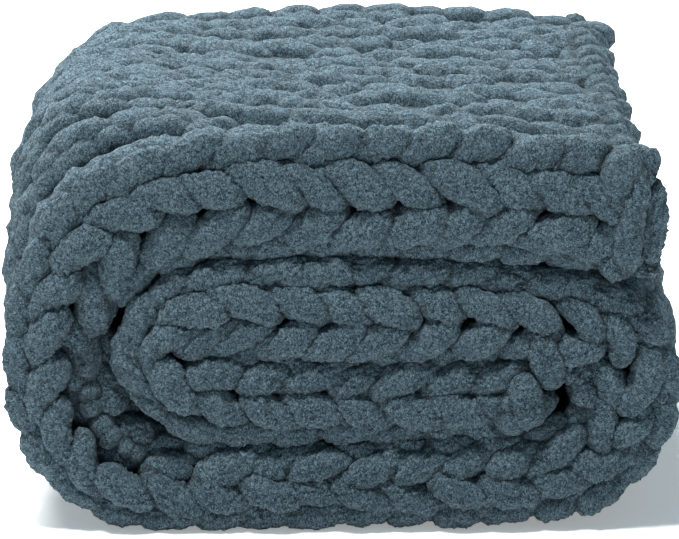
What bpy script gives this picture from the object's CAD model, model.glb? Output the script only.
"""Chunky knit blanket: strands of chenille yarn knitted along the folded cloth, on a pale floor."""

import math
from collections import namedtuple

import bpy
import numpy as np
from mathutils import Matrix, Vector


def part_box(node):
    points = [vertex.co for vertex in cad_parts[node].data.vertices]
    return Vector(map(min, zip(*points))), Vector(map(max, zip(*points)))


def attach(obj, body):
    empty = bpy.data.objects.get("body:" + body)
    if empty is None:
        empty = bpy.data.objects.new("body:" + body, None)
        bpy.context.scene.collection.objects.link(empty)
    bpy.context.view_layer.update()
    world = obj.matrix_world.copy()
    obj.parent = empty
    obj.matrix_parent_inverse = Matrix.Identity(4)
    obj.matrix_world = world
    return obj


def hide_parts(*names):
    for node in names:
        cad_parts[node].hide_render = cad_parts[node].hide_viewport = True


bl_info = {
    "name": "Chunky Knit Blanket",
    "version": (1, 0, 0),
    "blender": (4, 5, 0),
    "location": "View3D > Sidebar > Knit Blanket",
    "description": "Knits a folded blanket from thick chenille yarn",
    "category": "Object",
}

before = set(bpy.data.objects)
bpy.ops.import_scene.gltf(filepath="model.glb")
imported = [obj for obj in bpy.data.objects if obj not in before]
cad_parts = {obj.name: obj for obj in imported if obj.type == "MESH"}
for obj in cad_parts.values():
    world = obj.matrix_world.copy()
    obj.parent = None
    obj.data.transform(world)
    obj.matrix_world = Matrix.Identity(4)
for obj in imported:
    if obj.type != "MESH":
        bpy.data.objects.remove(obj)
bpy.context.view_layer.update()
BODY = "root"
NODE = "blanket"
LOW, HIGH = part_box(NODE)

# The line in which the cloth is folded, from its outer end, on top at the right, to its inner end.
# swell is how much further out the outer side stands behind the front edge than at it.
FoldPoint = namedtuple("FoldPoint", "place x z half swell")
FOLD = (
    FoldPoint("outer end", 0.1795, 0.2055, 0.0360, 0.004),
    FoldPoint("top, right", 0.1310, 0.2125, 0.0375, 0.003),
    FoldPoint("top, middle right", 0.0650, 0.2175, 0.0385, 0.002),
    FoldPoint("top, middle", -0.0050, 0.2185, 0.0385, 0.002),
    FoldPoint("top, left", -0.0804, 0.2135, 0.0375, 0.014),
    FoldPoint("left shoulder", -0.1384, 0.1895, 0.0345, 0.043),
    FoldPoint("left side, high", -0.1690, 0.1500, 0.0305, 0.017),
    FoldPoint("left side", -0.1785, 0.1070, 0.0285, 0.008),
    FoldPoint("left side, low", -0.1692, 0.0630, 0.0275, 0.006),
    FoldPoint("left foot", -0.1390, 0.0330, 0.0264, 0.001),
    FoldPoint("floor, left", -0.0804, 0.0258, 0.0256, 0.000),
    FoldPoint("floor, middle", -0.0054, 0.0254, 0.0254, 0.000),
    FoldPoint("floor, right", 0.0796, 0.0280, 0.0276, 0.000),
    FoldPoint("right foot", 0.1410, 0.0370, 0.0300, 0.004),
    FoldPoint("right side, low", 0.1720, 0.0600, 0.0300, 0.010),
    FoldPoint("right side", 0.1805, 0.0920, 0.0275, 0.010),
    FoldPoint("right side, high", 0.1670, 0.1235, 0.0280, 0.012),
    FoldPoint("second layer, right", 0.1210, 0.1405, 0.0290, 0.002),
    FoldPoint("second layer, middle", 0.0446, 0.1455, 0.0312, 0.000),
    FoldPoint("second layer, left", -0.0454, 0.1448, 0.0305, 0.000),
    FoldPoint("inner fold, high", -0.0940, 0.1372, 0.0280, 0.000),
    FoldPoint("inner fold", -0.1120, 0.1135, 0.0268, 0.000),
    FoldPoint("inner fold, low", -0.0900, 0.0885, 0.0262, 0.000),
    FoldPoint("third layer, left", -0.0454, 0.0840, 0.0262, 0.000),
    FoldPoint("third layer, middle", 0.0346, 0.0840, 0.0262, 0.000),
    FoldPoint("inner end", 0.1146, 0.0860, 0.0225, 0.000),
)
LINE_STEPS = 24
SWELL_FRONT = 0.12  # how far behind the front edge the cloth reaches its full swell
SWELL_BACK = 0.16  # how far before the back edge the swell starts to go down again
SWELL_LEFT = 0.48  # the share of it that is left at the back edge
SWELL_INNER = 0.4  # how far the inner side follows the outer one, as a share
WAVE = 0.0035  # unevenness of the outer side
ROW_MARGIN = 0.017  # from the edges to the middles of the rows next to them
EDGE_MARGIN = 0.004  # from the cloth's edge to the foremost strands
USUAL_HALF = 0.0340  # the half thickness that the strands' sizes are given for
ROW_RADIUS = 0.0136  # strands of the rows on the outer side
SHOULDER_RADIUS = 0.0104
INNER_RADIUS = 0.0088
END_RADIUS = 0.0125
END_LEAN = 0.0075  # how much further in the outer end lies at the back edge
CORE_INSET = 0.0145  # from the cloth's inner side to the core, and half of it on the outer side
CORE_END_INSET = 0.006
CORE_EDGE_INSET = 0.034
CROWDING = 0.42  # how much closer together a strand's points are on the side it bulges to
FINE_LUMPS = 900.0
COARSE_LUMPS = 380.0
NEAR = 0.052  # strands further away than this don't touch
OWN = 0.0025  # points nearer than this to a strand's middle line are its own
TOUCHING = 0.0004  # strands that lie this deep in each other are in the crease's full dark

# How much further out than the cloth's swell the strands stand behind the front edge and at the back
Fullness = namedtuple("Fullness", "place front back")
FULLNESS = (
    Fullness("outer end", 0.000, 0.0060),
    Fullness("top, middle", 0.000, 0.0035),
    Fullness("top, left", 0.000, -0.0015),
    Fullness("left shoulder", 0.007, 0.006),
    Fullness("left side, high", 0.004, 0.003),
    Fullness("left side", 0.000, 0.000),
    Fullness("left side, low", 0.004, 0.004),
    Fullness("left foot", 0.004, 0.004),
    Fullness("floor, left", 0.000, 0.000),
)

# How the edge is knitted at some of these places. rim, outer, inner and under say where its rows lie, as
# shares of the cloth's half thickness. open is how open it is and smooth how smooth its rim is, each from
# 0 to 1. recess is how far its inner leg and the row under it stay behind.
EdgeZone = namedtuple("EdgeZone", "place rim outer inner under open smooth recess")
EDGE_ZONES = (
    EdgeZone("outer end", 0.66, 0.10, -0.52, -0.92, 0.0, 0.2, 0.0),
    EdgeZone("top, middle", 0.64, 0.10, -0.54, -0.94, 0.0, 0.0, 0.0),
    EdgeZone("left shoulder", 0.67, 0.12, -0.52, -0.92, 0.1, 0.2, 0.0),
    EdgeZone("left side", 0.68, 0.18, -0.38, -0.66, 0.2, 0.6, 0.010),
    EdgeZone("left side, low", 0.67, 0.20, -0.42, -0.74, 0.1, 0.5, 0.022),
    EdgeZone("left foot", 0.66, 0.14, -0.42, -0.74, 0.1, 0.4, 0.018),
    EdgeZone("floor, left", 0.62, 0.08, -0.52, -0.92, 0.1, 0.3, 0.002),
    EdgeZone("floor, middle", 0.60, 0.06, -0.54, -0.94, 0.1, 0.2, 0.0),
    EdgeZone("right foot", 0.66, 0.12, -0.48, -0.92, 0.2, 0.3, 0.0),
    EdgeZone("right side", 0.70, 0.18, -0.48, -0.94, 0.9, 0.4, 0.0),
    EdgeZone("right side, high", 0.70, 0.18, -0.48, -0.94, 1.0, 0.6, 0.0),
    EdgeZone("second layer, right", 0.66, 0.04, -0.62, -0.96, 1.0, 0.9, 0.0),
    EdgeZone("second layer, middle", 0.66, -0.04, -0.70, -0.98, 0.8, 0.9, 0.0),
    EdgeZone("second layer, left", 0.66, 0.02, -0.66, -0.98, 0.0, 0.9, 0.0),
    EdgeZone("inner fold", 0.66, 0.06, -0.52, -0.94, 0.0, 0.8, 0.0),
    EdgeZone("third layer, left", 0.74, 0.18, -0.50, -0.96, 0.0, 0.5, 0.0),
    EdgeZone("inner end", 0.74, 0.18, -0.50, -0.94, 0.0, 0.3, 0.0),
)

# The rows of strands along an edge. behind is how far a row stays behind the edge, and slope how far out
# a strand's later end lies from its middle. reach is half a strand's length, and shift a move along the
# edge, both in stitches. lift is how far both ends go down, tuck how much further the later end goes,
# under the next strand, and bow how far the middle is arched outwards. facing is the side that a row
# bulges to, in degrees from straight ahead towards the outer side, and taper how much thicker the later
# ends of its strands are, as a share.
EdgeRow = namedtuple("EdgeRow", "name behind slope reach shift radius lift tuck bow facing taper")
EDGE_ROWS = (
    EdgeRow("rim", 0.008, -0.0070, 0.92, 0.0, 0.0114, 0.0042, 0.0080, 0.0020, 48, -0.08),
    EdgeRow("outer", 0.000, 0.0088, 0.84, 0.25, 0.0130, 0.0045, 0.0100, 0.0062, 14, -0.08),
    EdgeRow("inner", 0.001, -0.0092, 0.82, 0.15, 0.0134, 0.0045, 0.0100, -0.0045, -8, -0.08),
    EdgeRow("under", 0.010, -0.0020, 0.62, 0.6, 0.0100, 0.0050, 0.0020, -0.0010, -35, 0.0),
)

# Single strands at the edge's turns and in the hollow at the left. du is how far past its place a
# strand's middle lies, and w is a share of the half thickness. run_u, run_v and run_w are half the
# strand's way along the line, to the back and out of the cloth.
Loop = namedtuple("Loop", "name place du v w run_u run_v run_w radius lift")
LOOPS = (
    Loop("front end loop", "outer end", 0.003, -0.198, -0.12, 0.002, 0.0, 0.036, 0.0102, 0.002),
    Loop("second end loop", "outer end", -0.010, -0.188, -0.18, 0.003, 0.002, 0.027, 0.0108, 0.002),
    Loop("end knob", "outer end", -0.011, -0.184, -0.96, 0.001, 0.002, 0.007, 0.0112, 0.001),
    Loop("lower end", "outer end", 0.006, -0.192, -0.92, 0.006, 0.002, -0.006, 0.0115, 0.002),
    Loop("corner top", "outer end", 0.004, -0.188, 0.62, 0.008, 0.004, 0.009, 0.0118, 0.002),
    Loop("loose loop", "second layer, right", -0.012, -0.196, -0.98, -0.010, 0.0, -0.017, 0.0105, 0.002),
    Loop("hollow, top", "left side", -0.004, -0.168, -1.04, 0.025, 0.005, -0.003, 0.0105, 0.002),
    Loop("hollow, middle", "left side, low", -0.016, -0.174, -1.06, 0.026, -0.005, -0.003, 0.0112, 0.002),
    Loop("hollow, low", "left side, low", 0.012, -0.166, -1.08, 0.025, 0.004, -0.003, 0.0112, 0.002),
    Loop("hollow, foot", "left foot", -0.008, -0.174, -1.04, 0.026, -0.004, -0.003, 0.0110, 0.002),
    Loop("hollow, end", "left foot", 0.022, -0.168, -1.02, 0.024, 0.003, -0.003, 0.0100, 0.002),
    Loop("past the inner end", "right side", -0.004, -0.192, -1.10, 0.017, 0.002, 0.0, 0.0098, 0.002),
    Loop("over the inner end", "right side, high", 0.006, -0.190, -1.08, 0.016, 0.0, 0.0, 0.0096, 0.002),
    Loop("inner end loop", "inner end", -0.001, -0.199, 0.05, 0.002, 0.0, 0.018, 0.0112, 0.004),
)


class YarnSizes(bpy.types.PropertyGroup):
    """The yarn and its stitches."""

    stitch: bpy.props.FloatProperty(
        name="Stitch", description="Length of one stitch along a row", default=0.030, unit="LENGTH"
    )
    rows: bpy.props.IntProperty(
        name="Rows", description="Rows of stitches from the front edge to the back edge", default=15
    )
    unevenness: bpy.props.FloatProperty(
        name="Unevenness", description="How much the stitches differ, as a share",
        default=0.16, subtype="FACTOR",
    )
    lumps: bpy.props.FloatProperty(
        name="Lumps", description="Height of the lumps in the pile", default=0.0010, unit="LENGTH"
    )
    crease: bpy.props.FloatProperty(
        name="Crease", description="Width of the dark crease where two strands touch",
        default=0.0015, unit="LENGTH",
    )


class YarnColours(bpy.types.PropertyGroup):
    """The yarn's colours and its pile."""

    tips: bpy.props.FloatVectorProperty(
        name="Pile tips", description="Colour of the pile's tips",
        default=(0.163, 0.240, 0.285), subtype="COLOR",
    )
    depths: bpy.props.FloatVectorProperty(
        name="Pile depths", description="Colour deep in the pile",
        default=(0.007, 0.024, 0.038), subtype="COLOR",
    )
    tuft: bpy.props.FloatProperty(
        name="Tuft", description="Width of one tuft of the pile", default=0.0006, unit="LENGTH"
    )


class StageSizes(bpy.types.PropertyGroup):
    """The floor, the lights and the camera."""

    floor: bpy.props.FloatProperty(
        name="Floor", description="Width of the floor",
        default=12.0, unit="LENGTH",
    )
    camera_back: bpy.props.FloatProperty(
        name="Camera distance", description="From the blanket's middle to the camera",
        default=2.41, unit="LENGTH",
    )
    camera_side: bpy.props.FloatProperty(
        name="Camera side", description="To the right of the blanket's middle",
        default=-0.002, unit="LENGTH",
    )
    camera_height: bpy.props.FloatProperty(
        name="Camera height", description="Above the floor", default=0.75, unit="LENGTH"
    )
    camera_pitch: bpy.props.FloatProperty(
        name="Camera pitch", description="Downwards", default=math.radians(14.70), subtype="ANGLE"
    )
    lens: bpy.props.FloatProperty(name="Lens", description="Focal length in millimetres", default=197.0)


def catmull_rom(rows, steps):
    """Points on a smooth curve through the rows."""
    rows = np.vstack([2 * rows[0] - rows[1], rows, 2 * rows[-1] - rows[-2]])
    t = (np.arange(steps) / steps)[:, None]
    line = []
    for a, b, c, d in zip(rows, rows[1:], rows[2:], rows[3:]):
        square = (2 * a - 5 * b + 4 * c - d) * t**2
        cube = (3 * b - a - 3 * c + d) * t**3
        line.append(0.5 * (2 * b + (c - a) * t + square + cube))
    return np.vstack([*line, rows[-2][None]])


def smooth_step(share):
    """0 up to 0, 1 from 1 on, and a smooth rise between."""
    share = np.clip(share, 0.0, 1.0)
    return share * share * (3 - 2 * share)


def running_length(points):
    """The length from the first point to each of a row of flat points."""
    return np.concatenate([[0.0], np.cumsum(np.hypot(*np.diff(points, axis=0).T))])


class Sheet:
    """The folded cloth: u runs along the fold line, v from front to back, w out of its outer side."""

    def __init__(self):
        line = catmull_rom(np.array([(p.x, p.z, p.half, p.swell) for p in FOLD]), LINE_STEPS)
        self.along = running_length(line[:, :2])
        self.line = line
        self.length = self.along[-1]
        ahead = np.gradient(line[:, :2], self.along, axis=0)
        self.ahead = ahead / np.linalg.norm(ahead, axis=1)[:, None]
        self.depth = HIGH.y - LOW.y

    def at(self, place):
        """How far along the line a named place is."""
        return self.along[[p.place for p in FOLD].index(place) * LINE_STEPS]

    def half(self, u):
        """Half the cloth's thickness at u."""
        return np.interp(u, self.along, self.line[:, 2])

    def axes(self, u):
        """Unit vectors along the line and out of its outer side."""
        tx, tz = (np.interp(u, self.along, self.ahead[:, k]) for k in range(2))
        size = np.hypot(tx, tz)
        tx, tz = tx / size, tz / size
        none = np.zeros_like(tx)
        return np.stack([tx, none, tz], -1), np.stack([tz, none, -tx], -1)

    def swell(self, u, v):
        """How far the outer side stands out here beyond its place at the front edge."""
        front = smooth_step((v + self.depth / 2) / SWELL_FRONT)
        back = SWELL_LEFT + (1 - SWELL_LEFT) * smooth_step((self.depth / 2 - v) / SWELL_BACK)
        swell = np.interp(u, self.along, self.line[:, 3]) * np.minimum(front, back)
        places = [self.at(full.place) for full in FULLNESS]
        full_front = np.interp(u, places, [full.front for full in FULLNESS])
        full_back = np.interp(u, places, [full.back for full in FULLNESS])
        share = smooth_step(v / self.depth + 0.5)
        return swell + front * (full_front * (1 - share) + full_back * share)

    def spaced(self, offset, spacing, shift=0.0):
        """Places u at even distances along a row, and how much u grows there for each metre of the row.

        offset is how far the row stands out of the line, for each of its fine points.
        """
        _, out = self.axes(self.along)
        row = self.line[:, :2] + out[:, [0, 2]] * offset[:, None]
        length = running_length(row)
        count = round(length[-1] / spacing)
        u = np.interp((np.arange(count) + 0.5 + shift) * length[-1] / count, length, self.along)
        growth = np.interp(u, self.along, np.gradient(self.along, length))
        return u, growth

    def place(self, u, v, w):
        """Points in the room."""
        inside = np.clip(u, 0.0, self.length)
        x, z = (np.interp(inside, self.along, self.line[:, k]) for k in range(2))
        ahead, out = self.axes(inside)
        outer = smooth_step(w / self.half(inside) / 2 + 0.5)
        w = w + outer * WAVE * uneven(x * 7 + v * 5, v * 9 - z * 6)
        w = w + (SWELL_INNER + (1 - SWELL_INNER) * outer) * self.swell(inside, v)
        v = v * (1 + 0.018 * uneven(u * 11, 3.0 + 0 * u))
        return np.stack([x, v, z], -1) + ahead * (u - inside)[..., None] + out * w[..., None]


def uneven(a, b):
    """Smooth values between about -1 and 1 over two coordinates."""
    return 0.5 * (np.sin(a + 1.7 * np.sin(b * 0.9)) + np.sin(1.9 * b + 1.3 * np.sin(a * 1.1 + 2.0)))


SHEET = Sheet()
Strands = namedtuple("Strands", "u v w run facing lift tuck bow radius taper")
Lines = namedtuple("Lines", "centre up thick")


def centre_lines(strands, rings):
    """The strands' middle lines in the room, with the side each bulges to and its half thickness there.

    run is half a strand's way in (u, v, w), and facing is the side it bulges to. lift is how far both its
    ends go down, tuck how much further its later end does, and bow how far its middle is arched outwards.
    """
    even = np.linspace(-1.0, 1.0, rings)
    t = 0.6 * even - 0.4 * np.cos(np.linspace(0.0, math.pi, rings))
    down = strands.lift[:, None] * np.abs(t) ** 2.4 + strands.tuck[:, None] * ((t + 1) / 2) ** 2
    start = np.stack([strands.u, strands.v, strands.w], -1)[:, None, :]
    facing = strands.facing[:, None, :]
    path = start + strands.run[:, None, :] * t[None, :, None] - facing * down[..., None]
    path[..., 2] += strands.bow[:, None] * (0.6 - t**2)
    centre = SHEET.place(path[..., 0], path[..., 1], path[..., 2])
    ahead, out = SHEET.axes(np.clip(path[..., 0], 0.0, SHEET.length))
    across = np.array([0.0, 1.0, 0.0])
    up = ahead * facing[..., 0:1] + across * facing[..., 1:2] + out * facing[..., 2:3]
    thick = strands.radius[:, None] * (1 - np.abs(t) ** 4.0) ** 0.5 * (1 + strands.taper[:, None] * t)
    return Lines(centre, up, thick)


def around(sizes):
    """Points on the middle lines of all strands of the blanket, with the half thickness there."""
    points, thick = [], []
    for piece in PIECES.values():
        lines = centre_lines(piece.strands(sizes), 14)
        points.append(lines.centre[:, 1:-1].reshape(-1, 3))
        thick.append(lines.thick[:, 1:-1].ravel())
    return np.concatenate(points).astype(np.float32), np.concatenate(thick).astype(np.float32)


def openness(skin, lines, sizes):
    """How free each point of each strand's skin is of the other strands, from 0 where they touch to 1."""
    points, thick = around(sizes)
    found = np.empty(skin.shape[:-1], np.float32)
    for number, own in enumerate(skin.astype(np.float32)):
        line = lines.centre[number].astype(np.float32)
        near = np.linalg.norm(points - line.mean(axis=0), axis=1) < NEAR
        near_points, near_thick = points[near], thick[near]
        apart = np.linalg.norm(near_points[:, None] - line[None], axis=2).min(axis=1) > OWN
        near_points, near_thick = near_points[apart], near_thick[apart]
        flat = own.reshape(-1, 3)
        gap = np.linalg.norm(flat[:, None] - near_points[None], axis=2) - near_thick[None]
        found[number] = gap.min(axis=1, initial=1.0).reshape(own.shape[:-1])
    return smooth_step((found + TOUCHING) / sizes.crease)


def strand_mesh(name, piece, sizes):
    """One mesh of closed strands."""
    strands = piece.strands(sizes)
    count = len(strands.u)
    lines = centre_lines(strands, piece.rings)
    turn = np.arange(piece.sides + 1) / piece.sides
    turn = turn + CROWDING * np.sin(2 * math.pi * turn) / (2 * math.pi)
    chance = np.random.default_rng(piece.seed)
    skin = strand_skin(lines, turn, piece, sizes, chance)
    shown = openness(skin, lines, sizes)
    shown = np.concatenate([shown.reshape(count, -1), np.zeros((count, 2))], axis=1).ravel()
    points = np.concatenate([skin.reshape(count, -1, 3), lines.centre[:, [0, -1]]], axis=1)
    points = points.reshape(-1, 3)
    points[:, 2] = floored(points[:, 2])
    faces = strand_faces(count, piece.rings, piece.sides)
    shift = chance.uniform(0.0, 4.0, (count, 2))
    uv = strand_uv(lines.centre, turn, strands.radius, shift)
    return new_mesh(name, points, faces, uv, shown)


def strand_skin(lines, turn, piece, sizes, chance):
    """The points round each strand, ring by ring, with their lumps and tufts."""
    along = np.gradient(lines.centre, axis=1)
    along /= np.linalg.norm(along, axis=2)[..., None]
    side = np.cross(along, lines.up)
    side /= np.linalg.norm(side, axis=2)[..., None]
    up = np.cross(side, along)
    angle = 2 * math.pi * turn[:-1] - math.pi / 2
    ring = (
        side[:, 1:-1, None, :] * np.cos(angle)[None, None, :, None]
        + up[:, 1:-1, None, :] * np.sin(angle)[None, None, :, None]
    )
    skin = lines.centre[:, 1:-1, None, :] + ring * lines.thick[:, 1:-1, None, None]
    tufts = chance.uniform(-1, 1, skin.shape[:-1])
    fine = sizes.lumps * lumps(skin, FINE_LUMPS, piece.seed)
    coarse = piece.clump * lumps(skin, COARSE_LUMPS, piece.seed + 3)
    return skin + ring * (fine + coarse + piece.pile * tufts)[..., None]


def strand_faces(count, rings, sides):
    """The faces along all strands, and the triangles at their first and last tips."""
    per = (rings - 2) * sides + 2
    k = np.arange(sides)
    k2 = (k + 1) % sides
    i = np.arange(rings - 3)[:, None] * sides
    quads = np.stack([i + k, i + k2, i + sides + k2, i + sides + k], -1).reshape(-1, 4)
    first = np.stack([np.full(sides, per - 2), k2, k], -1)
    last_ring = (rings - 3) * sides
    last = np.stack([np.full(sides, per - 1), last_ring + k, last_ring + k2], -1)
    base = (np.arange(count) * per)[:, None, None]
    return [(part[None] + base).reshape(-1, part.shape[1]) for part in (quads, first, last)]


def strand_uv(centre, turn, radius, shift):
    """How far along and round its strand each corner of those faces lies, in metres."""
    count, rings = centre.shape[:2]
    length = np.linalg.norm(np.diff(centre, axis=1), axis=2).cumsum(axis=1)
    at = np.concatenate([np.zeros((count, 1)), length], axis=1) + shift[:, :1]
    round_it = 2 * math.pi * radius[:, None]
    ring_v = turn[None, :-1] * round_it + shift[:, 1:2]
    ring_v2 = turn[None, 1:] * round_it + shift[:, 1:2]
    qa = np.broadcast_to(at[:, 1:-2, None], (count, rings - 3, len(turn) - 1))
    qb = np.broadcast_to(at[:, 2:-1, None], qa.shape)
    va = np.broadcast_to(ring_v[:, None, :], qa.shape)
    vb = np.broadcast_to(ring_v2[:, None, :], qa.shape)
    tips = (0, 1, rings - 1, rings - 2)
    fa, fb, la, lb = (np.broadcast_to(at[:, j : j + 1], ring_v.shape) for j in tips)
    corners = (
        ((qa, va), (qa, vb), (qb, vb), (qb, va)),
        ((fa, ring_v), (fb, ring_v2), (fb, ring_v)),
        ((la, ring_v), (lb, ring_v), (lb, ring_v2)),
    )
    uv = [np.stack([np.stack(c, -1) for c in face], -2).reshape(-1, 2) for face in corners]
    return np.concatenate(uv)


def lumps(points, fine, seed):
    """Lumps between about -1 and 1. fine is how closely they follow each other."""
    x = points[..., 0] * fine + seed
    y = points[..., 1] * fine
    z = points[..., 2] * fine
    a = np.sin(x + 2.1 * np.sin(0.43 * y + 0.3 * z))
    a = a + np.sin(y * 1.13 + 1.9 * np.sin(0.51 * z + 0.37 * x))
    b = np.sin(z * 1.07 + 2.3 * np.sin(0.47 * x - 0.41 * y)) + np.sin(0.31 * (x + y + z))
    return (a + b) / 4


def floored(z):
    """Heights with all that would be below the floor pressed flat on it."""
    return np.maximum(z, 0.0)


def new_mesh(name, points, faces, uv, openness):
    """An object from arrays. openness is 1 on crests and 0 deep in the creases."""
    mesh = bpy.data.meshes.new(name)
    loops = np.concatenate([f.ravel() for f in faces])
    totals = np.concatenate([np.full(len(f), f.shape[1]) for f in faces])
    mesh.vertices.add(len(points))
    mesh.vertices.foreach_set("co", points.astype(np.float32).ravel())
    mesh.loops.add(len(loops))
    mesh.loops.foreach_set("vertex_index", loops.astype(np.int32))
    mesh.polygons.add(len(totals))
    starts = np.concatenate([[0], np.cumsum(totals)[:-1]])
    mesh.polygons.foreach_set("loop_start", starts.astype(np.int32))
    mesh.polygons.foreach_set("loop_total", totals.astype(np.int32))
    mesh.update(calc_edges=True)
    mesh.validate()
    layer = mesh.uv_layers.new(name="along_and_round")
    layer.data.foreach_set("uv", uv.astype(np.float32).ravel())
    depth = mesh.attributes.new("openness", "FLOAT", "POINT")
    depth.data.foreach_set("value", openness.astype(np.float32))
    mesh.shade_smooth()
    piece = bpy.data.objects.new(name, mesh)
    bpy.context.scene.collection.objects.link(piece)
    return piece


def yarn_material():
    """Matte chenille: short dense tufts, light at their tips, dark between them and in the creases."""
    found = bpy.data.materials.get("fluffed_chenille")
    if found:
        return found
    colours = bpy.context.scene.yarn_colours
    material = bpy.data.materials.new("fluffed_chenille")
    material.use_nodes = True
    nodes, links = material.node_tree.nodes, material.node_tree.links
    shader = nodes["Principled BSDF"]
    shader.inputs["Roughness"].default_value = 0.95
    shader.inputs["Specular IOR Level"].default_value = 0.1
    shader.inputs["Sheen Weight"].default_value = 0.12
    shader.inputs["Sheen Roughness"].default_value = 0.5
    shader.inputs["Sheen Tint"].default_value = (0.75, 0.88, 0.95, 1.0)
    uv = nodes.new("ShaderNodeUVMap")
    uv.uv_map = "along_and_round"
    tuft = nodes.new("ShaderNodeMapping")
    tuft.inputs["Scale"].default_value = (1.0, 0.42, 1.0)
    links.new(uv.outputs["UV"], tuft.inputs["Vector"])
    strokes = nodes.new("ShaderNodeTexNoise")
    strokes.inputs["Scale"].default_value = 1.0 / colours.tuft
    strokes.inputs["Detail"].default_value = 2.5
    strokes.inputs["Roughness"].default_value = 0.6
    strokes.inputs["Distortion"].default_value = 0.8
    links.new(tuft.outputs["Vector"], strokes.inputs["Vector"])
    coordinates = nodes.new("ShaderNodeTexCoord")
    clumps = nodes.new("ShaderNodeTexNoise")
    clumps.inputs["Scale"].default_value = 0.30 / colours.tuft
    clumps.inputs["Detail"].default_value = 2.0
    links.new(coordinates.outputs["Object"], clumps.inputs["Vector"])
    bent = nodes.new("ShaderNodeVectorMath")
    bent.operation = "MULTIPLY_ADD"
    bent.inputs[1].default_value = (0.007, 0.007, 0.007)
    links.new(clumps.outputs["Color"], bent.inputs[0])
    links.new(coordinates.outputs["Object"], bent.inputs[2])
    partings = nodes.new("ShaderNodeTexVoronoi")
    partings.feature = "DISTANCE_TO_EDGE"
    partings.inputs["Scale"].default_value = 0.14 / colours.tuft
    links.new(bent.outputs["Vector"], partings.inputs["Vector"])
    parted = nodes.new("ShaderNodeMapRange")
    parted.inputs["From Max"].default_value = 0.13
    parted.inputs["To Min"].default_value = 0.22
    links.new(partings.outputs["Distance"], parted.inputs["Value"])
    both = nodes.new("ShaderNodeMix")
    both.inputs["Factor"].default_value = 0.22
    links.new(strokes.outputs["Fac"], both.inputs["A"])
    links.new(clumps.outputs["Fac"], both.inputs["B"])
    ramp = nodes.new("ShaderNodeValToRGB")
    ramp.color_ramp.elements[0].position = 0.36
    ramp.color_ramp.elements[0].color = (*colours.depths, 1.0)
    ramp.color_ramp.elements[1].position = 0.60
    ramp.color_ramp.elements[1].color = (*colours.tips, 1.0)
    links.new(both.outputs["Result"], ramp.inputs["Fac"])
    openness = nodes.new("ShaderNodeAttribute")
    openness.attribute_name = "openness"
    shade = nodes.new("ShaderNodeMapRange")
    shade.inputs["To Min"].default_value = 0.50
    links.new(openness.outputs["Fac"], shade.inputs["Value"])
    creased = nodes.new("ShaderNodeVectorMath")
    creased.operation = "SCALE"
    links.new(ramp.outputs["Color"], creased.inputs["Vector"])
    dark = nodes.new("ShaderNodeMath")
    dark.operation = "MULTIPLY"
    links.new(shade.outputs["Result"], dark.inputs[0])
    links.new(parted.outputs["Result"], dark.inputs[1])
    links.new(dark.outputs["Value"], creased.inputs["Scale"])
    links.new(creased.outputs["Vector"], shader.inputs["Base Color"])
    bump = nodes.new("ShaderNodeBump")
    bump.inputs["Strength"].default_value = 1.0
    bump.inputs["Distance"].default_value = 0.0022
    links.new(both.outputs["Result"], bump.inputs["Height"])
    links.new(bump.outputs["Normal"], shader.inputs["Normal"])
    return material


def finished(piece):
    """Gives a piece its material, and makes it part of the blanket."""
    piece.data.materials.append(yarn_material())
    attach(piece, BODY)
    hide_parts(NODE)
    return piece


def row_places(sizes):
    """Distances of the rows from the middle, front to back."""
    outermost = SHEET.depth / 2 - ROW_MARGIN
    return np.linspace(-outermost, outermost, sizes.rows)


def varied(chance, base, share, count):
    """Values round the base one, up to a share of it more or less."""
    return base * (1 + share * chance.uniform(-1, 1, count))


def outer_rows(sizes):
    """The rows of bumps on the cloth's outer side."""
    chance = np.random.default_rng(11)
    places = row_places(sizes)[1:-1]
    found = []
    for number, place in enumerate(places):
        offset = SHEET.line[:, 2] + SHEET.swell(SHEET.along, place)
        u, growth = SHEET.spaced(offset, sizes.stitch, 0.5 * (number % 2) - 0.25)
        found.append((u, growth, np.full(len(u), number)))
    u, growth, j = (np.concatenate(column) for column in zip(*found))
    n = len(u)
    radius = varied(chance, ROW_RADIUS, sizes.unevenness, n) * (1 + 4.5 * SHEET.swell(u, 0.0))
    v = places[j] + 0.0048 * uneven(u * 23 + 2.0 * j, j * 1.7) + 0.0030 * chance.uniform(-1, 1, n)
    sunk = np.where(chance.random(n) < 0.12, 0.0030, 0.0) + 0.0014 * chance.uniform(-1, 1, n)
    beside = (j == len(places) - 1) * 1.0 - (j == 0)
    v += 0.005 * beside
    sunk += 0.0035 * np.abs(beside) * (1 - SHEET.swell(u, 0.0) / 0.06)
    w = SHEET.half(u) - radius * 0.96 - sunk
    slant = 0.0050 * np.where(chance.random(n) < 0.75, 1, -1) * chance.uniform(0.3, 1.4, n)
    half_run = varied(chance, sizes.stitch * 0.74, 0.22, n) * growth
    run = np.stack([half_run, slant, 0.0020 * chance.uniform(-1, 1, n)], -1)
    facing = np.tile([0.0, 0.0, 1.0], (n, 1))
    lift = varied(chance, 0.0042, 0.5, n)
    tuck = varied(chance, 0.0030, 0.8, n)
    u = u + 0.004 * chance.uniform(-1, 1, n) * growth
    u = np.clip(u, 0.85 * half_run, SHEET.length - 0.85 * half_run)
    taper = 0.12 * chance.uniform(-1, 1, n)
    return Strands(u, v, w, run, facing, lift, tuck, np.zeros(n), radius, taper)


def upper_rows(sizes):
    """The outer side's rows on top and down the left side."""
    strands = outer_rows(sizes)
    return chosen(strands, strands.u < SHEET.at("left side, low"))


def lower_rows(sizes):
    """The outer side's rows from the floor to the inner end."""
    strands = outer_rows(sizes)
    return chosen(strands, strands.u >= SHEET.at("left side, low"))


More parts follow.
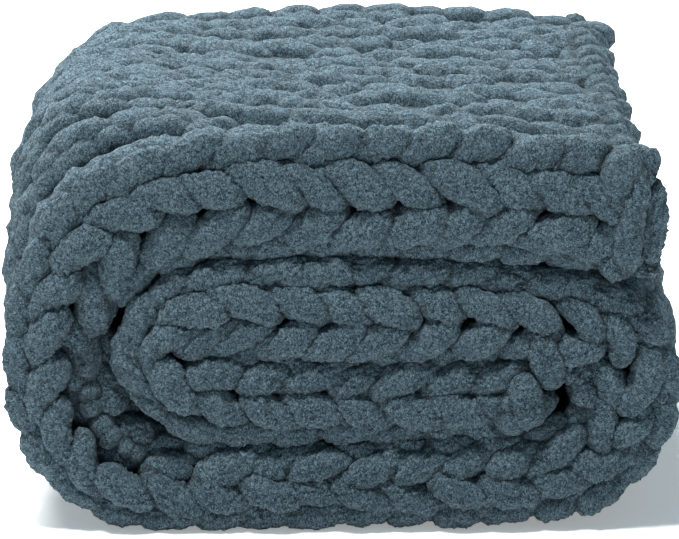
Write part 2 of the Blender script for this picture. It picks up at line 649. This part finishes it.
def shoulder_rows(sizes):
    """Thinner rows between the others round the left shoulder, where the cloth swells out."""
    chance = np.random.default_rng(13)
    places = row_places(sizes)
    between = (places[:8] + places[1:9]) / 2
    found = []
    for number, place in enumerate(between):
        offset = SHEET.line[:, 2] + SHEET.swell(SHEET.along, place)
        u, growth = SHEET.spaced(offset, sizes.stitch, 0.5 * (number % 2))
        near = (u > SHEET.at("top, left") - 0.012) & (u < SHEET.at("left side") + 0.012)
        found.append((u[near], growth[near], np.full(near.sum(), number)))
    u, growth, j = (np.concatenate(column) for column in zip(*found))
    n = len(u)
    radius = varied(chance, SHOULDER_RADIUS, sizes.unevenness, n)
    v = between[j] + 0.0020 * chance.uniform(-1, 1, n)
    w = SHEET.half(u) - radius - 0.0010 * (1 + chance.uniform(-1, 1, n)) - 0.0040 * (j == 0)
    half_run = varied(chance, 0.021, 0.2, n) * growth
    run = np.stack([half_run, 0.003 * chance.uniform(-1, 1, n), np.zeros(n)], -1)
    facing = np.tile([0.0, 0.0, 1.0], (n, 1))
    lift = varied(chance, 0.0045, 0.4, n)
    tuck = varied(chance, 0.0020, 0.8, n)
    none = np.zeros(n)
    return Strands(u, v, w, run, facing, lift, tuck, none, radius, none)


def chosen(strands, mask):
    """The strands that the mask picks."""
    return Strands(*(column[mask] for column in strands))


def joined(parts):
    """One set of strands from several."""
    return Strands(*(np.concatenate(column) for column in zip(*parts)))


def zone_values(u, column):
    """A column of the edge's zones at the places u."""
    places = [SHEET.at(zone.place) for zone in EDGE_ZONES]
    return np.interp(u, places, [getattr(zone, column) for zone in EDGE_ZONES])


def calmness(u, row, back):
    """How much of its slant and relief a row keeps at the places u."""
    if back:
        return np.full(len(u), 0.5)
    if row.name == "rim":
        return 1 - 0.6 * zone_values(u, "smooth")
    return np.ones(len(u))


def edge_rows(sizes, rows, back, seed):
    """The given rows of strands along one edge."""
    chance = np.random.default_rng(seed)
    toward = 1.0 if back else -1.0
    edge = SHEET.depth / 2 - EDGE_MARGIN
    parts = []
    for row in rows:
        offset = SHEET.line[:, 2] * zone_values(SHEET.along, row.name)
        u, growth = SHEET.spaced(offset, sizes.stitch, row.shift)
        count = len(u)
        u = u + 0.0030 * chance.uniform(-1, 1, count) * growth
        half = SHEET.half(u)
        opened = np.zeros(count) if row.name == "rim" else zone_values(u, "open")
        calm = calmness(u, row, back)
        radius = varied(chance, row.radius, sizes.unevenness * 0.8, count)
        radius = radius * np.clip(half / USUAL_HALF, 0.86, 1.0)
        radius = radius * (1 - 0.11 * opened) * (0.92 if back else 1.0)
        behind = row.behind + 0.0020 * chance.uniform(-1, 1, count)
        if row.name in ("inner", "under") and not back:
            behind = behind + zone_values(u, "recess")
        v = toward * (edge - behind - radius)
        w = half * zone_values(u, row.name) + 0.0015 * chance.uniform(-1, 1, count) * calm
        if not back and row.name in ("outer", "inner"):
            w = w + 0.0018 * uneven(u * 29 + len(row.name), u * 13)
        run = np.stack([
            varied(chance, sizes.stitch * row.reach, 0.14, count) * (1 - 0.20 * opened) * growth,
            toward * 0.001 * chance.uniform(-1, 1, count),
            varied(chance, row.slope, 0.35, count) * (1 + 0.30 * opened) * half / USUAL_HALF * calm,
        ], -1)
        way = math.radians(row.facing)
        facing = np.tile([0.0, toward * math.cos(way), math.sin(way)], (count, 1))
        lift = varied(chance, row.lift, 0.25, count) * calm
        tuck = varied(chance, row.tuck, 0.25, count) * calm
        bow = varied(chance, row.bow, 0.4, count)
        parts.append(Strands(u, v, w, run, facing, lift, tuck, bow, radius, np.full(count, row.taper)))
    return joined(parts)


def single_loops():
    """The single strands at the front edge's turns and in the hollow."""
    u = np.array([SHEET.at(loop.place) + loop.du for loop in LOOPS])
    v = np.array([loop.v for loop in LOOPS])
    w = np.array([loop.w for loop in LOOPS]) * SHEET.half(u)
    run = np.array([(loop.run_u, loop.run_v, loop.run_w) for loop in LOOPS])
    facing = np.tile([0.0, -1.0, 0.0], (len(LOOPS), 1))
    lift = np.array([loop.lift for loop in LOOPS])
    radius = np.array([loop.radius for loop in LOOPS])
    none = np.zeros(len(LOOPS))
    return Strands(u, v, w, run, facing, lift, none, none, radius, none)


def named_rows(*names):
    """The rows of the edge with these names."""
    return [row for row in EDGE_ROWS if row.name in names]


def front_chain(sizes):
    """The two legs of the chain along the front edge."""
    return edge_rows(sizes, named_rows("outer", "inner"), back=False, seed=21)


def front_rims(sizes):
    """The rim of the front edge and the single loops."""
    return joined([edge_rows(sizes, named_rows("rim"), back=False, seed=22), single_loops()])


def front_underside(sizes):
    """The small row under the front chain."""
    return edge_rows(sizes, named_rows("under"), back=False, seed=24)


def back_edge(sizes):
    """All rows of the back edge."""
    return edge_rows(sizes, EDGE_ROWS, back=True, seed=31)


def inner_side(sizes):
    """The legs of the stitches on the cloth's inner side, near both edges."""
    chance = np.random.default_rng(41)
    places = row_places(sizes)
    near = np.concatenate([[places[0] + 0.020], places[2:4], places[-4:-2], [places[-1] - 0.020]])
    count = round(SHEET.length / sizes.stitch)
    step = SHEET.length / count
    parts = []
    for leg in (-1, 1):
        k, j = (a.ravel() for a in np.meshgrid(np.arange(count), np.arange(len(near))))
        n = len(k)
        u = (k + 0.5 + 0.24 * leg) * step
        radius = varied(chance, INNER_RADIUS, sizes.unevenness, n)
        w = -SHEET.half(u) + radius
        run = np.stack([np.full(n, -leg * 0.16 * step), np.full(n, 0.019), np.zeros(n)], -1)
        facing = np.tile([0.0, 0.0, -1.0], (n, 1))
        lift = varied(chance, 0.004, 0.3, n)
        none = np.zeros(n)
        parts.append(Strands(u, near[j], w, run, facing, lift, none, none, radius, np.full(n, 0.15)))
    return joined(parts)


def ends(sizes):
    """The turns of the rows at the cloth's outer and inner ends."""
    chance = np.random.default_rng(51)
    places = row_places(sizes)
    n = len(places)
    parts = []
    for end, out in ((0.0, -1.0), (SHEET.length, 1.0)):
        half = SHEET.half(end)
        lean = END_LEAN * (places / SHEET.depth + 0.5) if out < 0 else 0.0
        for side, slope, behind in ((0.42, -0.62, 0.006), (-0.10, 0.66, 0.001)):
            radius = varied(chance, END_RADIUS, sizes.unevenness, n)
            u = end - out * (behind + radius * 0.4 + lean)
            w = np.full(n, half * side)
            across = 0.004 * chance.uniform(-1, 1, n)
            run = np.stack([np.zeros(n), across, np.full(n, half * slope)], -1)
            facing = np.tile([out, 0.0, 0.0], (n, 1))
            shift = 0.0 if side > 0 else 0.5 * (places[1] - places[0])
            v = np.clip(places + shift, places[0], places[-1])
            none = np.zeros(n)
            lift = varied(chance, 0.007, 0.2, n)
            parts.append(Strands(u, v, w, run, facing, lift, none, none, radius, none))
    return joined(parts)


# What each piece of strands is made from. rings and sides are how many points its strands have along and
# round them, pile is the height of its tufts, and clump that of its larger lumps.
Piece = namedtuple("Piece", "strands rings sides seed pile clump")
PIECES = {
    "upper_rows": Piece(upper_rows, 20, 20, 1, 0.0007, 0.0016),
    "shoulder_rows": Piece(shoulder_rows, 16, 18, 9, 0.0007, 0.0012),
    "lower_rows": Piece(lower_rows, 12, 14, 7, 0.0008, 0.0026),
    "front_chain": Piece(front_chain, 30, 32, 2, 0.0011, 0.0010),
    "front_rims": Piece(front_rims, 32, 34, 6, 0.0011, 0.0014),
    "front_underside": Piece(front_underside, 20, 22, 8, 0.0009, 0.0010),
    "back_edge": Piece(back_edge, 14, 16, 3, 0.0005, 0.0),
    "inner_side": Piece(inner_side, 8, 8, 4, 0.0, 0.0),
    "ends": Piece(ends, 16, 18, 5, 0.0006, 0.0),
}


def knit(context, name):
    """Makes one of the pieces of strands."""
    finished(strand_mesh(name, PIECES[name], context.scene.yarn_sizes))


class THROW_OT_upper_rows(bpy.types.Operator):
    """Knits the rows of bumps on top and down the left side."""

    bl_idname = "throw.upper_rows"
    bl_label = "Knit Upper Rows"

    def execute(self, context):
        knit(context, "upper_rows")
        return {"FINISHED"}


class THROW_OT_shoulder_rows(bpy.types.Operator):
    """Knits the thinner rows round the left shoulder."""

    bl_idname = "throw.shoulder_rows"
    bl_label = "Knit Shoulder Rows"

    def execute(self, context):
        knit(context, "shoulder_rows")
        return {"FINISHED"}


class THROW_OT_lower_rows(bpy.types.Operator):
    """Knits the rows of bumps from the floor to the inner end."""

    bl_idname = "throw.lower_rows"
    bl_label = "Knit Lower Rows"

    def execute(self, context):
        knit(context, "lower_rows")
        return {"FINISHED"}


class THROW_OT_front_chain(bpy.types.Operator):
    """Knits the two legs of the chain along the front edge."""

    bl_idname = "throw.front_chain"
    bl_label = "Knit Front Chain"

    def execute(self, context):
        knit(context, "front_chain")
        return {"FINISHED"}


class THROW_OT_front_rims(bpy.types.Operator):
    """Knits the rim of the front edge, the loops at its turns and those in the hollow."""

    bl_idname = "throw.front_rims"
    bl_label = "Knit Front Rims"

    def execute(self, context):
        knit(context, "front_rims")
        return {"FINISHED"}


class THROW_OT_front_underside(bpy.types.Operator):
    """Knits the small row under the front chain."""

    bl_idname = "throw.front_underside"
    bl_label = "Knit Front Underside"

    def execute(self, context):
        knit(context, "front_underside")
        return {"FINISHED"}


class THROW_OT_back_edge(bpy.types.Operator):
    """Knits the back edge, like the front one."""

    bl_idname = "throw.back_edge"
    bl_label = "Knit Back Edge"

    def execute(self, context):
        knit(context, "back_edge")
        return {"FINISHED"}


class THROW_OT_inner_side(bpy.types.Operator):
    """Knits the legs of the stitches on the cloth's inner side."""

    bl_idname = "throw.inner_side"
    bl_label = "Knit Inner Side"

    def execute(self, context):
        knit(context, "inner_side")
        return {"FINISHED"}


class THROW_OT_ends(bpy.types.Operator):
    """Knits the turns of the rows at the cloth's two ends."""

    bl_idname = "throw.ends"
    bl_label = "Knit Ends"

    def execute(self, context):
        knit(context, "ends")
        return {"FINISHED"}


class THROW_OT_core(bpy.types.Operator):
    """Lays the core in the cloth's thickness, which only shows as shade between the strands."""

    bl_idname = "throw.core"
    bl_label = "Lay Core"

    def execute(self, context):
        stations, round_it = 220, 16
        u = np.linspace(CORE_END_INSET, SHEET.length - CORE_END_INSET, stations)
        half = SHEET.half(u)
        width = SHEET.depth / 2 - CORE_EDGE_INSET
        angle = np.linspace(0.0, 2 * math.pi, round_it, endpoint=False)
        v = np.sign(np.cos(angle)) * np.abs(np.cos(angle)) ** 0.25 * width
        w = np.sign(np.sin(angle)) * np.abs(np.sin(angle)) ** 0.5
        inset = np.where(w > 0, 0.5 * CORE_INSET, CORE_INSET)
        points = SHEET.place(
            np.repeat(u[:, None], round_it, 1),
            np.repeat(v[None], stations, 0),
            (half[:, None] - inset[None]) * w[None],
        ).reshape(-1, 3)
        k = np.arange(round_it)
        k2 = (k + 1) % round_it
        i = np.arange(stations - 1)[:, None] * round_it
        quads = np.stack([i + k, i + round_it + k, i + round_it + k2, i + k2], -1).reshape(-1, 4)
        caps = np.stack([k, (stations - 1) * round_it + k[::-1]])
        uv = np.zeros((quads.size + caps.size, 2))
        uv[:, 0] = np.arange(len(uv)) * 0.0137
        points[:, 2] = floored(points[:, 2])
        finished(new_mesh("core", points, [quads, caps], uv, np.full(len(points), 0.25)))
        return {"FINISHED"}


class THROW_OT_stage(bpy.types.Operator):
    """Sets the pale floor, the soft lights and the camera."""

    bl_idname = "throw.stage"
    bl_label = "Set Stage"

    def execute(self, context):
        stage = context.scene.stage_sizes
        bpy.ops.object.select_all(action="DESELECT")
        bpy.ops.mesh.primitive_plane_add(size=stage.floor, location=(0.0, 0.0, -0.0005))
        floor = context.object
        floor.name = "floor"
        pale = bpy.data.materials.new("pale_floor")
        pale.use_nodes = True
        shader = pale.node_tree.nodes["Principled BSDF"]
        shader.inputs["Base Color"].default_value = (0.95, 0.95, 0.95, 1.0)
        shader.inputs["Emission Color"].default_value = (1.0, 1.0, 1.0, 1.0)
        shader.inputs["Emission Strength"].default_value = FLOOR_GLOW
        shader.inputs["Roughness"].default_value = 0.9
        shader.inputs["Specular IOR Level"].default_value = 0.0
        floor.data.materials.append(pale)
        for light in LIGHTS:
            area_light(light)
        world = bpy.data.worlds.new("studio")
        context.scene.world = world
        world.use_nodes = True
        sky = world.node_tree.nodes["Background"]
        sky.inputs["Color"].default_value = SKY_COLOUR
        sky.inputs["Strength"].default_value = SKY_STRENGTH
        camera = bpy.data.cameras.new("camera")
        camera.lens = stage.lens
        camera.sensor_width = 36.0
        eye = bpy.data.objects.new("camera", camera)
        eye.location = (stage.camera_side, -stage.camera_back, stage.camera_height)
        eye.rotation_euler = (math.pi / 2 - stage.camera_pitch, 0.0, 0.0)
        context.scene.collection.objects.link(eye)
        context.scene.camera = eye
        context.scene.view_settings.view_transform = "Standard"
        return {"FINISHED"}


Light = namedtuple("Light", "name place size power")
LIGHTS = (
    Light("top_light", (-0.45, 1.30, 1.70), 0.8, 106.0),
    Light("front_light", (-0.42, -0.80, 3.05), 0.45, 110.0),
)
LIGHT_AIM = (0.0, 0.0, 0.1)
SKY_COLOUR = (0.50, 0.86, 1.0, 1.0)
SKY_STRENGTH = 0.23
FLOOR_GLOW = 0.30


def area_light(light):
    """A soft square light that points at the blanket."""
    lamp = bpy.data.lights.new(light.name, "AREA")
    lamp.shape = "SQUARE"
    lamp.size = light.size
    lamp.energy = light.power
    holder = bpy.data.objects.new(light.name, lamp)
    bpy.context.scene.collection.objects.link(holder)
    holder.location = light.place
    way = Vector(LIGHT_AIM) - holder.location
    holder.rotation_euler = way.to_track_quat("-Z", "Y").to_euler()


class THROW_PT_panel(bpy.types.Panel):
    """The blanket's pieces and its stage."""

    bl_idname = "THROW_PT_panel"
    bl_label = "Knit Blanket"
    bl_space_type = "VIEW_3D"
    bl_region_type = "UI"
    bl_category = "Knit Blanket"

    def draw(self, context):
        for group in (context.scene.yarn_sizes, context.scene.yarn_colours, context.scene.stage_sizes):
            for name in group.__annotations__:
                self.layout.prop(group, name)
        for operator in OPERATORS:
            self.layout.operator(operator.bl_idname)


OPERATORS = (
    THROW_OT_core,
    THROW_OT_upper_rows,
    THROW_OT_shoulder_rows,
    THROW_OT_lower_rows,
    THROW_OT_front_chain,
    THROW_OT_front_rims,
    THROW_OT_front_underside,
    THROW_OT_back_edge,
    THROW_OT_inner_side,
    THROW_OT_ends,
    THROW_OT_stage,
)
CLASSES = (YarnSizes, YarnColours, StageSizes, *OPERATORS, THROW_PT_panel)


def register():
    for made in CLASSES:
        bpy.utils.register_class(made)
    bpy.types.Scene.yarn_sizes = bpy.props.PointerProperty(type=YarnSizes)
    bpy.types.Scene.yarn_colours = bpy.props.PointerProperty(type=YarnColours)
    bpy.types.Scene.stage_sizes = bpy.props.PointerProperty(type=StageSizes)


def unregister():
    del bpy.types.Scene.stage_sizes
    del bpy.types.Scene.yarn_colours
    del bpy.types.Scene.yarn_sizes
    for made in reversed(CLASSES):
        bpy.utils.unregister_class(made)


def main():
    register()
    bpy.ops.throw.core()
    bpy.ops.throw.upper_rows()
    bpy.ops.throw.shoulder_rows()
    bpy.ops.throw.lower_rows()
    bpy.ops.throw.front_chain()
    bpy.ops.throw.front_rims()
    bpy.ops.throw.front_underside()
    bpy.ops.throw.back_edge()
    bpy.ops.throw.inner_side()
    bpy.ops.throw.ends()
    bpy.ops.throw.stage()


if __name__ == "__main__":
    main()
